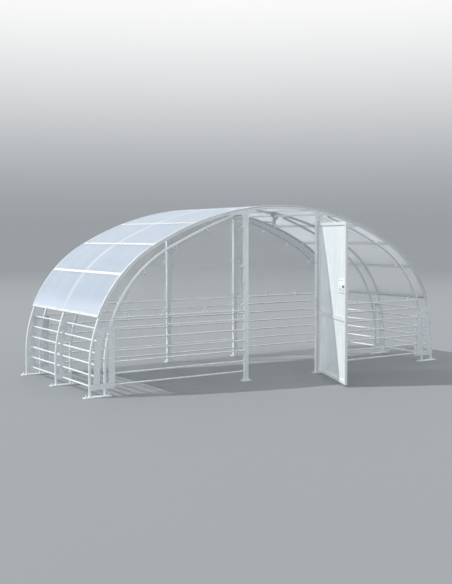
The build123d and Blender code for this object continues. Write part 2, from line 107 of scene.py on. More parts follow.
class ShelterSizes(bpy.types.PropertyGroup):
    """Sizes of the fastenings, welds and finishes."""
    outer_tube: length("Outer tube", 0.0337, "Diameter of the rib tubes")
    half_span: length("Half span", 2.830, "From the middle to the centre of an outer leg")
    outer_leg: length("Outer leg", 0.300, "Straight height of an outer leg")
    outer_side_radius: length("Side radius", 1.675, "Radius of the outer arch over a leg")
    outer_crown_radius: length("Crown radius", 4.000, "Radius of the outer arch over the middle")
    leg_gap: length("Leg gap", 0.195, "From the outer leg to the inner leg")
    inner_leg: length("Inner leg", 0.335, "Straight height of an inner leg")
    inner_radius_drop: length("Inner radius drop", 0.090, "Outer arch's side radius less the inner one's")
    inner_turn_lead: angle("Inner turn lead", 2.8, "How much further the inner side arc turns than the outer")
    inner_end_x: length("Inner end", 0.800, "Where the inner arch meets the outer, from the middle")
    inner_end_gap: length("Inner end gap", 0.002, "Clearance between the tubes there")
    post_x: length("Post", 0.600, "From the middle to the centre line of a post")
    post_width: length("Post width", 0.060, "Width of a post seen from the front")
    flange_x: length("Flange", 2.510, "From the middle to the flange of a foot plate")
    foot_strip_inset: length("Foot strip inset", 0.07785, "From an outer leg's centre to the side rails")
    rail_tube: length("Rail tube", 0.0213, "Diameter of the rails")
    face_rail_first: length("First face rail", 0.130, "Height of the lowest rail of the end walls")
    face_rail_pitch: length("Face rail pitch", 0.1365, "Between the rails of the end walls")
    side_rail_first: length("First side rail", 0.106, "Height of the lowest rail of the side walls")
    side_rail_pitch: length("Side rail pitch", 0.139, "Between the rails of the side walls")
    top_rail: length("Top rail", 0.930, "Height of the rail under the clear panels")
    lug_height: length("Lug height", 0.058, "How far a lug stands out")
    lug_width: length("Lug width", 0.060, "Between the feet of a lug")
    lug_rod: length("Lug rod", 0.008, "Diameter of the rod that the lugs are bent from")
    rail_lugs: lengths("Rail lugs", (1.233, 1.827, 2.340), "From the middle to the lugs of a top rail")
    arch_lugs: lengths("Arch lugs", (1.183, 1.680, 2.127), "From the middle to the lugs of an inner arch")
    post_lugs: lengths("Post lugs", (1.000, 1.507, 2.004), "Heights of the lugs of a post")
    panel_thickness: length("Panel thickness", 0.004, "Thickness of the clear panels")
    sheet_thickness: length("Sheet thickness", 0.010, "Thickness of the roof sheet")
    strip_thickness: length("Strip thickness", 0.002, "Thickness of the cover strips and trims")
    strip_turns: angles("Cover strips", (42.5, 61.0, 70.2), "Rise of the arch's normal at the cover strips")
    eave_turn: angle("Eave", 22.5, "Rise of the arch's normal at the lower end of the roof sheet")
    eave_inset: length("Eave screws", 0.014, "From the lower end of the roof sheet to its screws")
    roof_screw_pitch: length("Roof screw pitch", 0.330, "Between the screws of the roof strips")
    bolt_across: length("Bolt head", 0.017, "Across the flats of an M10 hexagon")
    bolt_height: length("Bolt head height", 0.0064, "Height of an M10 head")
    gusset_bolts: lengths("Gusset bolts", (2.231, 2.154, 2.105), "Heights of the bolts of a crown gusset")
    foot_bolts_x: lengths("Foot bolts", (2.540, 2.541, 2.713), "From the middle to the bolts of a foot plate")
    foot_bolts_z: lengths("Foot bolt heights", (0.800, 0.708, 0.725), "Heights of the bolts of a foot plate")
    washer_width: length("Washer", 0.024, "Diameter of a flat washer")
    washer_thickness: length("Washer thickness", 0.002, "Thickness of a flat washer")
    anchor_across: length("Anchor nut", 0.019, "Across the flats of an M12 nut")
    anchor_stand: length("Anchor stud", 0.030, "How far an anchor stud stands above its plate")
    thread_pitch: length("Thread pitch", 0.00175, "Pitch of an M12 thread")
    screw_head: length("Screw head", 0.012, "Diameter of a button head")
    screw_washer: length("Screw washer", 0.022, "Diameter of a sealing washer")
    weld_size: length("Weld size", 0.0035, "Half width of a weld bead")
    mid_rail_low: length("Middle rail, low", 0.825, "Lower edge of the door's middle rail")
    mid_rail_high: length("Middle rail, high", 0.865, "Upper edge of the door's middle rail")
    door_tube_width: length("Door tube", 0.040, "Width of the door's tubes seen from the front")
    hinge_half: length("Hinge half", 0.045, "Height of each half of a hinge")
    hinge_tab: length("Hinge tab", 0.010, "Thickness of the tabs that the hinges are welded on by")
    hinge_heights: lengths("Hinge heights", (0.240, 1.080, 1.880), "Heights of the three hinges")
    lock_rim: length("Lock rim", 0.010, "Width of the raised rim round the face of the lock case")
    keyhole_drop: length("Keyhole drop", 0.055, "From the turn knobs down to the keyholes")
    knob_depth: length("Knob depth", 0.014, "How far a turn knob stands out")
    rivet_inset: length("Rivet inset", 0.014, "From the edges of the door's sheets to the rivets")
    # Half width of the door's dark joint beads, which are partly painted shade of the gaps at the middle rail.
    sealant: length("Sealant", 0.0022, "Half width of the sealant beads")
    flute_pitch: length("Flute pitch", 0.033, "Bands of the roof sheet, three 11 mm flutes wide so they show")
    # How high the painted glow at the lower end of the roof sheet reaches, and below which height it is strongest.
    eave_glow_top: length("Dust, top", 1.220, "Height that the dust in the lower end of the roof sheet reaches")
    eave_glow_full: length("Dust, thick", 0.950, "Height below which that dust is thickest")


class ShelterColours(bpy.types.PropertyGroup):
    """Colours of the finishes, as they look in even light."""
    zinc_light: colour("Zinc, light", "#F5F7F8", "Light crystals of the galvanised steel")
    zinc_dark: colour("Zinc, dark", "#D8DFE3", "Dark crystals of the galvanised steel")
    plate_light: colour("Plate, light", "#F2F6F8", "Light crystals of the thick galvanised plate")
    plate_dark: colour("Plate, dark", "#D8E0E4", "Dark crystals of the thick galvanised plate")
    door_light: colour("Door sheet, light", "#FCFDFD", "Bright streaks of the door's zinc sheet")
    door_dark: colour("Door sheet, dark", "#DFEBEE", "Dull streaks of the door's zinc sheet")
    strip: colour("Strips", "#E6E9EB", "Mill-finish aluminium of the strips and trims")
    roof: colour("Roof", "#C2D4EC", "Skin of the multiwall roof sheet")
    roof_inside: colour("Roof, inside", "#F9FBFA", "Inner skin of the roof sheet")
    roof_web: colour("Roof webs", "#AEC4E3", "Webs inside the roof sheet, seen through its skin")
    clear: colour("Clear panels", "#F7F8F8", "Tint of the clear sheet")
    bolt: colour("Bolts", "#DDE0E2", "Zinc-plated bolts and nuts")
    # Dark colour of the rubber seals, and of the door's joint beads, whose darkness is partly painted shade.
    seal: colour("Seals", "#26282A", "Black rubber of the seals and dark sealant")
    knob: colour("Knobs", "#17181A", "Black plastic of the knobs")
    # Painted light of the roof sheet: its bright streaks along the flutes are painted highlights, and its pale
    # band over the middle rib and its pale lower end are painted glow.
    painted_roof_light: colour("Roof streaks", "#EDF4FF", "Faint bright lines and dust of the roof sheet")
    floor: colour("Floor", "#8E9194", "Studio floor")
    backdrop: colour("Backdrop", "#9A9FA4", "What the camera sees behind the floor")
    even: colour("Even light", "#F2F6F7", "Colour of the even light")
    overhead: colour("Overhead", "#FFFFFF", "What metal and clear sheet show of the studio above them")


class ShelterView(bpy.types.PropertyGroup):
    """The photograph's viewpoint and the lamps."""
    eye: FloatVectorProperty(name="Eye", description="Place of the camera", subtype="TRANSLATION",
                             unit="LENGTH", default=(-7.067, -10.452, 1.903))
    heading: angle("Heading", 33.168, "Turn of the view to the right of straight back")
    pitch: angle("Pitch", -3.67, "Tilt of the view above the level")
    roll: angle("Roll", -0.133, "Turn of the camera about its line of sight")
    focal: FloatProperty(name="Focal length", description="Focal length in pixels of the photograph",
                         default=874.65)
    sun_from: FloatVectorProperty(name="Sun from", description="Direction towards the key lamp",
                                  subtype="DIRECTION", default=(-0.75, 0.366, 0.80))
    sun_power: FloatProperty(name="Sun power", description="Strength of the key lamp", default=2.6)
    sun_size: angle("Sun size", 1.0, "Apparent width of the key lamp, which softens its shadows")
    sky_power: FloatProperty(name="Sky power", description="Strength of the even light", default=0.85)


def sizes():
    return bpy.context.scene.shelter_sizes


def colours():
    return bpy.context.scene.shelter_colours


def feed(node, inputs):
    """Fill inputs, each with a value, a node's first output, or a node and an output's name or number."""
    for socket, value in inputs.items():
        if isinstance(value, bpy.types.Node):
            value = (value, 0)
        if isinstance(value, tuple) and isinstance(value[0], bpy.types.Node):
            node.id_data.links.new(value[0].outputs[value[1]], node.inputs[socket])
        else:
            node.inputs[socket].default_value = value


def add_node(tree, kind, inputs=None, **settings):
    """Add a shader node with its settings and inputs."""
    node = tree.nodes.new("ShaderNode" + kind)
    for name, value in settings.items():
        setattr(node, name, value)
    feed(node, inputs or {})
    return node


def new_material(name):
    """A material, what adds nodes to it, its main shader, and where on the object a point lies."""
    material = bpy.data.materials.new(name)
    material.use_nodes = True
    material.node_tree.nodes.clear()
    add = partial(add_node, material.node_tree)
    shader = add("BsdfPrincipled")
    add("OutputMaterial", {"Surface": shader})
    return material, add, shader, (add("TexCoord"), "Object")


def rgba(value):
    return (*value, 1.0)


def cells(millimetres):
    """The scale of a pattern whose grains, lines or waves are that wide."""
    return 1000 / millimetres


def galvanised(name, grain, light="zinc_light", dark="zinc_dark", contrast=0.5, stretch=(1, 1, 1),
               rough=(0.34, 0.58), metallic=0.12, flakes=0.5):
    """Galvanised steel: zinc that froze in flat crystals, some brighter than others, under a dull bloom.

    The crystals are as wide as the grain, in millimetres. The grit of the bloom is drawn coarser than it is,
    so that it shows.
    """
    material, add, shader, place = new_material(name)
    light, dark = getattr(colours(), light), getattr(colours(), dark)
    scaled = add("VectorMath", {0: place, 1: stretch}, operation="MULTIPLY")
    crystals = add("TexVoronoi", {"Vector": scaled, "Scale": cells(grain)})
    tone = add("SeparateColor", {"Color": (crystals, "Color")})
    clouds = add("TexNoise", {"Vector": scaled, "Scale": 0.35 * cells(grain), "Detail": 4.0})
    blend = add("Mix", {0: flakes, 2: (clouds, "Fac"), 3: tone})
    spread = add("MapRange", {"Value": blend, "From Min": 0.25, "From Max": 0.75,
                              "To Min": 0.5 - contrast / 2, "To Max": 0.5 + contrast / 2})
    tint = add("Mix", {0: spread, MIX_A: rgba(dark), MIX_B: rgba(light)}, data_type="RGBA")
    polish = add("MapRange", {"Value": blend, "To Min": rough[1], "To Max": rough[0]})
    grit = add("TexNoise", {"Vector": place, "Scale": cells(2.381), "Detail": 3.0})
    bump = add("Bump", {"Height": (grit, "Fac"), "Strength": 0.08, "Distance": 0.001})
    feed(shader, {"Base Color": (tint, MIXED), "Roughness": polish, "Normal": bump, "Metallic": metallic})
    return material


def strip_aluminium(name):
    """Mill-finish aluminium strip: pale, with fine drawing lines along its length that soften its shine.

    The lines are drawn coarser than they are, so that they show: 1.85 mm wide and 30 times as long.
    """
    material, add, shader, place = new_material(name)
    c = colours()
    drawn = add("VectorMath", {0: place, 1: (1, 1 / 30, 1)}, operation="MULTIPLY")
    lines = add("TexNoise", {"Vector": drawn, "Scale": cells(1.852), "Detail": 2.0})
    polish = add("MapRange", {"Value": (lines, "Fac"), "To Min": 0.32, "To Max": 0.52})
    shade = tuple(0.86 * v for v in c.strip)
    tint = add("Mix", {0: (lines, "Fac"), MIX_A: rgba(shade), MIX_B: rgba(c.strip)}, data_type="RGBA")
    feed(shader, {"Base Color": (tint, MIXED), "Roughness": polish, "Metallic": 0.12})
    return material


def multiwall(name):
    """Translucent multiwall polycarbonate: glossy extruded skins over webs that show as bands along the arch.

    The outer skin holds the layer that keeps off ultraviolet light and looks faintly blue. The inner one is
    plain. The sheet lets part of the sun through to what stands under it. Light is painted into its colour:
    faint bright streaks along the flutes are painted highlights, a pale band where it lies on the middle rib is a
    painted glow of the lit rib, and its lower end is painted paler, a painted glow with less subsurface there.
    """
    material, add, shader, place = new_material(name)
    c, s = colours(), sizes()
    spot = add("SeparateXYZ", {0: place})
    turns = add("Math", {0: (spot, "Y"), 1: 2 * math.pi / s.flute_pitch}, operation="MULTIPLY")
    wave = add("Math", {0: turns}, operation="SINE")
    band = add("MapRange", {"Value": wave, "From Min": -1.0, "From Max": 1.0})
    haze = add("TexNoise", {"Vector": place, "Scale": cells(714.3), "Detail": 3.0})
    # Faint bright streaks along the flutes: painted highlights.
    lengthwise = add("VectorMath", {0: place, 1: (0, 1, 0)}, operation="MULTIPLY")
    runs = add("TexNoise", {"Vector": lengthwise, "Scale": cells(45.45), "Detail": 3.0})
    painted_roof_light = add("MapRange", {"Value": (runs, "Fac"), "From Min": 0.58, "From Max": 0.68})
    # A pale band where the sheet lies on the middle rib: a painted glow that stands for the lit rib showing
    # through the sheet.
    aside = add("Math", {0: (spot, "Y")}, operation="ABSOLUTE")
    rib = add("MapRange", {"Value": aside, "From Min": 2.4 * s.outer_tube, "To Max": 0.7,
                           "From Max": 0.3 * s.outer_tube}, interpolation_type="SMOOTHSTEP")
    # The lower end of the sheet is painted paler up to a given height, with less light scattered under its skin
    # there: a painted glow.
    dust_and_eave_glow = add("MapRange", {"Value": (spot, "Z"), "From Min": s.eave_glow_top, "To Max": 0.6,
                            "From Max": s.eave_glow_full}, interpolation_type="SMOOTHSTEP")
    through = add("Math", {0: 1.0, 1: dust_and_eave_glow}, operation="SUBTRACT")
    # The streaks, the rib band and the pale lower end are all painted light, mixed into the sheet's colour below.
    marks = add("Math", {0: painted_roof_light, 1: rib}, operation="MAXIMUM")
    pale = add("Math", {0: marks, 1: dust_and_eave_glow}, operation="MAXIMUM")
    surface = add("NewGeometry")
    way = add("SeparateXYZ", {0: (surface, "Normal")})
    outer = add("Math", {0: (way, "Z"), 1: 0.0}, operation="GREATER_THAN")
    skin = add("Mix", {0: outer, MIX_A: rgba(c.roof_inside), MIX_B: rgba(c.roof)}, data_type="RGBA")
    bars = add("Math", {0: band, 1: outer}, operation="MULTIPLY")
    webs = add("Mix", {0: bars, MIX_A: (skin, MIXED), MIX_B: rgba(c.roof_web)}, data_type="RGBA")
    tint = add("Mix", {0: pale, MIX_A: (webs, MIXED), MIX_B: rgba(c.painted_roof_light)}, data_type="RGBA")
    bump = add("Bump", {"Height": band, "Strength": 0.12, "Distance": 0.001})
    polish = add("MapRange", {"Value": (haze, "Fac"), "To Min": 0.36, "To Max": 0.50})
    ray = add("LightPath")
    passed = add("Math", {0: (ray, "Is Shadow Ray"), 1: SHEET_PASSES}, operation="MULTIPLY")
    held = add("Math", {0: 1.0, 1: passed}, operation="SUBTRACT")
    feed(shader, {
        "Base Color": (tint, MIXED), "Normal": bump, "Roughness": polish, "Alpha": held,
        "Subsurface Weight": through, "Subsurface Radius": (1.0, 1.0, 1.0), "Subsurface Scale": 0.14,
        "Transmission Weight": 0.3, "IOR": 1.45})
    return material


def clear_plastic(name):
    """Clear extruded polycarbonate: glass-like, with a faint haze and long shallow waves from the rollers."""
    material, add, shader, place = new_material(name)
    waves = add("TexNoise", {"Vector": place, "Scale": cells(454.5), "Detail": 1.0})
    dust_and_eave_glow = add("TexNoise", {"Vector": place, "Scale": cells(111.1), "Detail": 5.0})
    bump = add("Bump", {"Height": (waves, "Fac"), "Strength": 0.15, "Distance": 0.004})
    haze = add("MapRange", {"Value": (dust_and_eave_glow, "Fac"), "From Min": 0.35, "From Max": 0.75,
                            "To Min": 0.02, "To Max": 0.10})
    feed(shader, {"Base Color": rgba(colours().clear), "Normal": bump, "Roughness": haze,
                  "Transmission Weight": 0.90, "IOR": 1.45})
    return material


def black_plastic(name):
    """Black moulded nylon of the knobs: satin, with a spark-eroded grain, drawn coarser than it is."""
    material, add, shader, place = new_material(name)
    grain = add("TexNoise", {"Vector": place, "Scale": cells(1.1111), "Detail": 2.0})
    bump = add("Bump", {"Height": (grain, "Fac"), "Strength": 0.15, "Distance": 0.0005})
    feed(shader, {"Base Color": rgba(colours().knob), "Normal": bump, "Roughness": 0.38})
    return material


def marked(name, tint, marks, detail, rough, metallic=0.0):
    """A plain colour whose shine varies with marks that wide, in millimetres, drawn coarser than they are."""
    material, add, shader, place = new_material(name)
    pattern = add("TexNoise", {"Vector": place, "Scale": cells(marks), "Detail": detail})
    polish = add("MapRange", {"Value": (pattern, "Fac"), "To Min": rough[0], "To Max": rough[1]})
    feed(shader, {"Base Color": rgba(getattr(colours(), tint)), "Roughness": polish, "Metallic": metallic})
    return material


MAKERS = {
    # Hot-dip galvanised tube: small crystals and long runs down the tube.
    "hot_dip_tube": partial(galvanised, grain=10, stretch=(1, 1, 0.5)),
    # Thick plate cools slowly, so its crystals are large and plainly mottled.
    "hot_dip_plate": partial(galvanised, grain=11, light="plate_light", dark="plate_dark", contrast=0.65),
    # Bent rod, a little brighter than the tubes.
    "hot_dip_rod": partial(galvanised, grain=8, dark="plate_light", rough=(0.3, 0.5)),
    # Rectangular tube of the door: smooth strip steel with a fine even grain.
    "strip_zinc_tube": partial(galvanised, grain=10, rough=(0.35, 0.5)),
    # Continuously galvanised sheet: rolled, so its mottling is drawn out into upright streaks.
    "strip_zinc_sheet": partial(galvanised, grain=45, light="door_light", dark="door_dark", contrast=0.8,
                                stretch=(1, 1, 0.22), rough=(0.28, 0.48), flakes=0.2),
    # Turned and plated steel of the hinges: smoother and shinier than dipped zinc.
    "turned_zinc": partial(galvanised, grain=6, light="bolt", contrast=0.4, rough=(0.25, 0.4), metallic=0.5),
    # Zinc-plated machine-made bolts, nuts and washers: bright, with tool marks.
    "bolt_zinc": partial(marked, tint="bolt", marks=3.846, detail=2.0, rough=(0.22, 0.45), metallic=0.4),
    # Black rubber of the sealing washers, and the dark joint beads of the door, partly painted shade: dull, with a
    # dusty surface.
    "rubber_seal": partial(marked, tint="seal", marks=3.333, detail=3.0, rough=(0.7, 0.9)),
    "mill_aluminium": strip_aluminium, "multiwall_polycarbonate": multiwall,
    "clear_polycarbonate": clear_plastic, "black_nylon": black_plastic,
}
SLOT_FINISHES = {
    "galvanised_tube": "hot_dip_tube", "galvanised_plate": "hot_dip_plate", "galvanised_rod": "hot_dip_rod",
    "galvanised_door_tube": "strip_zinc_tube", "galvanised_sheet": "strip_zinc_sheet",
    "hinge_steel": "turned_zinc", "roof_strip": "mill_aluminium", "black_knob": "black_nylon",
    "multiwall_sheet": "multiwall_polycarbonate", "clear_sheet": "clear_polycarbonate",
}


def finish(name):
    """The material of that name, made on first use."""
    return bpy.data.materials.get(name) or MAKERS[name](name)


def placed(name, data, place=Matrix.Identity(4)):
    """A new object in the scene."""
    thing = bpy.data.objects.new(name, data)
    thing.matrix_world = place
    bpy.context.scene.collection.objects.link(thing)
    return thing


class Gathered:
    """Corners and faces gathered from many small solids for one piece."""

    def __init__(self):
        self.corners, self.faces = [], []

    def add(self, solid, place=Matrix.Identity(4)):
        """Add a solid, given as corners and faces, at a place."""
        corners, faces = solid
        start = len(self.corners)
        self.corners += [place @ Vector(corner) for corner in corners]
        self.faces += [[start + i for i in face] for face in faces]

    def piece(self, name, material, body, slot):
        """Make the mesh object, give it its finish and let it ride on its body."""
        mesh = bpy.data.meshes.new(name)
        mesh.from_pydata(self.corners, [], self.faces)
        mesh.shade_smooth()
        mesh.set_sharp_from_angle(angle=SHARP)
        mesh.materials.append(finish(material))
        piece = placed(name, mesh)
        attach(piece, body)
        return piece


def turned(profile, sides=20, closed=False):
    """A solid turned about Z from radius and height pairs. An open profile starts and ends on the axis."""
    corners, rings = [], []
    for radius, height in profile:
        count = 1 if radius == 0 else sides
        rings.append(range(len(corners), len(corners) + count))
        for i in range(count):
            turn = 2 * math.pi * i / sides
            corners.append((radius * math.cos(turn), radius * math.sin(turn), height))
    faces = []
    pairs = list(zip(rings, rings[1:])) + ([(rings[-1], rings[0])] if closed else [])
    for low, high in pairs:
        for i in range(sides):
            j = (i + 1) % sides
            square = [low[i % len(low)], low[j % len(low)], high[j % len(high)], high[i % len(high)]]
            faces.append(list(dict.fromkeys(square)))
    return corners, faces


def hexagon(across, height, chamfer):
    """A chamfered hexagon head or nut that stands on Z 0."""
    radius = across / math.sqrt(3)
    return turned([(0, 0), (radius, 0), (radius, height - chamfer), (across / 2 - chamfer, height),
                   (0, height)], sides=6)


def washer(width, thickness):
    """A flat disc with softened edges."""
    soft = thickness / 3
    return turned([(0, 0), (width / 2 - soft, 0), (width / 2, soft), (width / 2, thickness - soft),
                   (width / 2 - soft, thickness), (0, thickness)], sides=24)


def button(width, height, steps=5):
    """A domed screw head with a driver recess."""
    recess = width * 0.22
    dome = [(width / 2 * math.cos(a), height * math.sin(a)) for a in
            (math.pi / 2 * i / steps for i in range(steps)) if width / 2 * math.cos(a) > recess * 1.15]
    return turned([(0, 0)] + dome + [(recess, height), (recess * 0.9, height * 0.5), (0, height * 0.45)],
                  sides=16)


def ring_bead(tube, size, steps=6, sides=20):
    """A weld bead round a tube whose axis is Z, lying on Z 0."""
    root = tube / 2 - size * 0.4
    arc = [math.pi * i / steps for i in range(steps + 1)]
    outline = [(tube / 2 + 0.9 * size * math.sin(a), size - size * math.cos(a)) for a in arc]
    return turned([(root, 0)] + outline + [(root, 2 * size)], sides, closed=True)


def line_bead(start, end, size, sides=8, ripple=0.86):
    """A bead from one point to another, with rounded ends and, on a weld, the ripple of its passes."""
    start, end = Vector(start), Vector(end)
    run = end - start
    ripples = max(4, round(run.length / (size * 1.6)))
    profile = [(0, 0)]
    for i in range(1, ripples):
        swell = size * (1.0 if i % 2 else ripple)
        edge = min(1.0, 0.55 + 0.45 * min(i, ripples - i) / 2)
        profile.append((swell * edge, run.length * i / ripples))
    corners, faces = turned(profile + [(0, run.length)], sides)
    return [facing(start, run) @ Vector(corner) for corner in corners], faces


def upright_bead(x, y, low, high, short, size):
    """A weld up an edge from one height to another, which stops short of both."""
    return line_bead((x, y, low + short), (x, y, high - short), size)


def rounded(width, height, corner, steps, sides=6):
    """A plate with round corners on Z 0. Each step is how far it lies in from the outline, and how high."""
    corners, faces = [], []
    for inset, rise in steps:
        radius = max(corner - inset, 0.0005)
        reach_x, reach_y = width / 2 - inset - radius, height / 2 - inset - radius
        for quarter, (side_x, side_y) in enumerate(((1, 1), (-1, 1), (-1, -1), (1, -1))):
            for i in range(sides + 1):
                turn = math.pi / 2 * (quarter + i / sides)
                corners.append((side_x * reach_x + radius * math.cos(turn),
                                side_y * reach_y + radius * math.sin(turn), rise))
    ring = 4 * (sides + 1)
    loops = [[level * ring + i for i in range(ring)] for level in range(len(steps))]
    for low, high in zip(loops, loops[1:]):
        faces += [[low[i], low[(i + 1) % ring], high[(i + 1) % ring], high[i]] for i in range(ring)]
    return corners, faces + [loops[0][::-1], loops[-1]]


def facing(point, direction):
    """A place at a point whose Z looks along a direction."""
    return Matrix.Translation(point) @ Vector(direction).to_track_quat("Z", "Y").to_matrix().to_4x4()


def raised(height):
    """A place that far up its Z."""
    return Matrix.Translation((0, 0, height))


def spun(turn):
    """A place turned about its Z."""
    return Matrix.Rotation(turn, 4, "Z")


class Arch:
    """Half of a rib tube's centre line: a leg, a side arc and a flatter crown arc."""

    def __init__(self, leg_x, leg, side_radius, crown_radius, turn):
        self.side_x, self.leg, self.side_radius = leg_x - side_radius, leg, side_radius
        self.leg_x, self.turn, self.crown_radius = leg_x, turn, crown_radius
        shift = crown_radius - side_radius
        self.crown_x = self.side_x - shift * math.cos(turn)
        self.crown_z = leg - shift * math.sin(turn)

    def at(self, turn, offset=0.0):
        """X and Z where the outward normal rises by this angle, moved out by offset."""
        radius, x, z = self.side_radius, self.side_x, self.leg
        if turn > self.turn:
            radius, x, z = self.crown_radius, self.crown_x, self.crown_z
        return x + (radius + offset) * math.cos(turn), z + (radius + offset) * math.sin(turn)

    def turn_at(self, x):
        """The normal's angle at a distance from the middle."""
        turn = math.acos((x - self.side_x) / self.side_radius)
        return turn if turn <= self.turn else math.acos((x - self.crown_x) / self.crown_radius)

    def x_at(self, z):
        """Distance from the middle at a height on the leg or the side arc."""
        if z <= self.leg:
            return self.leg_x
        return self.side_x + math.sqrt(self.side_radius ** 2 - (z - self.leg) ** 2)


def outer_arch():
    s = sizes()
    turn = math.acos((s.half_span - s.outer_side_radius) / (s.outer_crown_radius - s.outer_side_radius))
    return Arch(s.half_span, s.outer_leg, s.outer_side_radius, s.outer_crown_radius, turn)


def inner_arch():
    """The inner arch, whose crown arc ends just under the outer arch."""
    s, outer = sizes(), outer_arch()
    end = Vector(outer.at(outer.turn_at(s.inner_end_x), -(s.outer_tube + s.inner_end_gap)))
    radius, turn = s.outer_side_radius - s.inner_radius_drop, outer.turn + s.inner_turn_lead
    leg_x = s.half_span - s.leg_gap
    leave = Vector((radius * math.cos(turn), radius * math.sin(turn)))
    away = end - Vector((leg_x - radius, s.inner_leg))
    crown = (away - leave).length_squared / (2 * (radius - away.dot(leave) / radius))
    return Arch(leg_x, s.inner_leg, radius, crown, turn)


def ribs():
    """Y of the front, middle and back ribs."""
    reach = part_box("back_outer_arch")[1].y - sizes().outer_tube / 2
    return -reach, 0.0, reach


def hole_places():
    """Every anchor hole, from the mounts of the record, whose spacings are in millimetres."""
    places = []
    for mount in frame["record"]["mounts"]:
        if mount["kind"] != "bolt_pattern":
            continue
        dims = mount.get("dims", {})
        x, y = dims["spacing_x_mm"] / 2000, dims.get("spacing_y_mm", 0) / 2000
        rows = (-y, y) if y else (0,)
        places += [(side * x, row) for side in (-1, 1) for row in rows]
    return places


def lug_places(centre):
    """X and Z of each lug's seat and the way it points, with or without the lugs of the centre window."""
    s, inner = sizes(), inner_arch()
    rail_top, half_post = s.top_rail + s.rail_tube / 2, s.post_width / 2
    seats = [((x, rail_top), (0, 1)) for x in s.rail_lugs]
    for x in s.arch_lugs:
        turn = inner.turn_at(x)
        seats.append((inner.at(turn, -s.outer_tube / 2), (-math.cos(turn), -math.sin(turn))))
    seats += [((s.post_x + half_post, z), (1, 0)) for z in s.post_lugs]
    both = seats + [((-x, z), (-dx, dz)) for (x, z), (dx, dz) in seats]
    if centre:
        both += [((side * (s.post_x - half_post), z), (-side, 0)) for side in (-1, 1) for z in s.post_lugs]
        both.append(((0, rail_top), (0, 1)))
    return both


def on_door():
    """Turns a place on the shut door to where it is as the door stands."""
    hinge = Vector(DOOR_JOINT["pos_m"])
    opened = spun(-math.radians(DOOR_JOINT["range_deg"][0]))
    return Matrix.Translation(hinge) @ opened @ Matrix.Translation(-hinge)


def shut_box(name):
    """The box of one of the door's construction pieces with the door shut."""
    shut = on_door().inverted()
    points = [shut @ corner.co for corner in NODES[name].data.vertices]
    return [Vector(pick(point[i] for point in points) for i in range(3)) for pick in (min, max)]


class SHELTER_OT_finishes(bpy.types.Operator):
    """Give every construction piece the finish of its slot"""
    bl_idname = "shelter.finishes"
    bl_label = "Finishes"

    def execute(self, context):
        slots = {part["node"]: part["material_slot"] for part in frame["record"]["subparts"]}
        for name, node in NODES.items():
            for place in node.material_slots:
                place.material = finish(SLOT_FINISHES[slots[name]])
            node.visible_shadow = slots[name] != "clear_sheet"
        return {"FINISHED"}


class SHELTER_OT_anchors(bpy.types.Operator):
    """Studs, washers and nuts that hold the base plates to the ground"""
    bl_idname = "shelter.anchors"
    bl_label = "Anchors"

    def execute(self, context):
        s = sizes()
        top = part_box("arch_base_plates")[1].z
        disc = washer(s.washer_width, s.washer_thickness)
        nut = hexagon(s.anchor_across, s.anchor_across * 0.55, chamfer=0.0015)
        radius, tip = s.anchor_across * 0.31, s.anchor_stand
        thread = [(0, 0)]
        for i in range(int(tip / s.thread_pitch)):
            thread += [(radius, i * s.thread_pitch), (radius * 0.88, (i + 0.5) * s.thread_pitch)]
        stud = turned(thread + [(radius * 0.8, tip), (0, tip)], sides=12)
        shape = Gathered()
        for x, y in hole_places():
            seat = Matrix.Translation((x, y, top))
            shape.add(disc, seat)
            shape.add(nut, seat @ raised(s.washer_thickness))
            shape.add(stud, seat)
        shape.piece("anchor_bolts", "bolt_zinc", "frame", "hinge_steel")
        return {"FINISHED"}


class SHELTER_OT_bolts(bpy.types.Operator):
    """Bolts through the crown gussets and the foot plates"""
    bl_idname = "shelter.bolts"
    bl_label = "Plate bolts"

    def execute(self, context):
        s = sizes()
        head = hexagon(s.bolt_across, s.bolt_height, chamfer=0.0012)
        disc = washer(s.washer_width, s.washer_thickness)
        gussets = [(x, z) for x in (-s.post_x, s.post_x) for z in s.gusset_bolts]
        feet = [(side * x, z) for side in (-1, 1) for x, z in zip(s.foot_bolts_x, s.foot_bolts_z)]
        for name, node, places, way in (
                ("front_gusset_bolts", "front_gussets", gussets, -1),
                ("back_gusset_bolts", "back_gussets", gussets, 1),
                ("middle_gusset_bolts", "middle_gussets", gussets, -1),
                ("front_foot_bolts", "front_foot_plates", feet, -1),
                ("back_foot_bolts", "back_foot_plates", feet, 1)):
            low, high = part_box(node)
            y = low.y if way < 0 else high.y
            shape = Gathered()
            for i, (x, z) in enumerate(places):
                # No two heads stand turned alike.
                seat = facing((x, y, z), (0, way, 0)) @ spun(0.4 * i)
                shape.add(disc, seat)
                shape.add(head, seat @ raised(s.washer_thickness))
            shape.piece(name, "bolt_zinc", "frame", "hinge_steel")
        return {"FINISHED"}


class SHELTER_OT_panel_screws(bpy.types.Operator):
    """Screws and washers that hold the clear panels to the lugs"""
    bl_idname = "shelter.panel_screws"
    bl_label = "Panel screws"

    def execute(self, context):
        s = sizes()
        front, _, back = ribs()
        reach = s.lug_height - s.lug_rod * 1.9
        disc = washer(s.screw_washer, s.washer_thickness)
        head = button(s.screw_head, s.screw_head * 0.45)
        nut = hexagon(s.screw_head, s.screw_head * 0.6, chamfer=0.001)
        for name, y, way, centre in (("front_panel_screws", front, 1, False),
                                     ("back_panel_screws", back, -1, True)):
            shape = Gathered()
            outside = y - way * s.lug_rod / 2
            inside = y + way * (s.lug_rod / 2 + s.panel_thickness)
            for (x, z), (dx, dz) in lug_places(centre):
                for face, toward, end in ((outside, -way, head), (inside, way, nut)):
                    seat = facing((x + dx * reach, face, z + dz * reach), (0, toward, 0))
                    shape.add(disc, seat)
                    shape.add(end, seat @ raised(s.washer_thickness))
            shape.piece(name, "bolt_zinc", "frame", "hinge_steel")
        return {"FINISHED"}


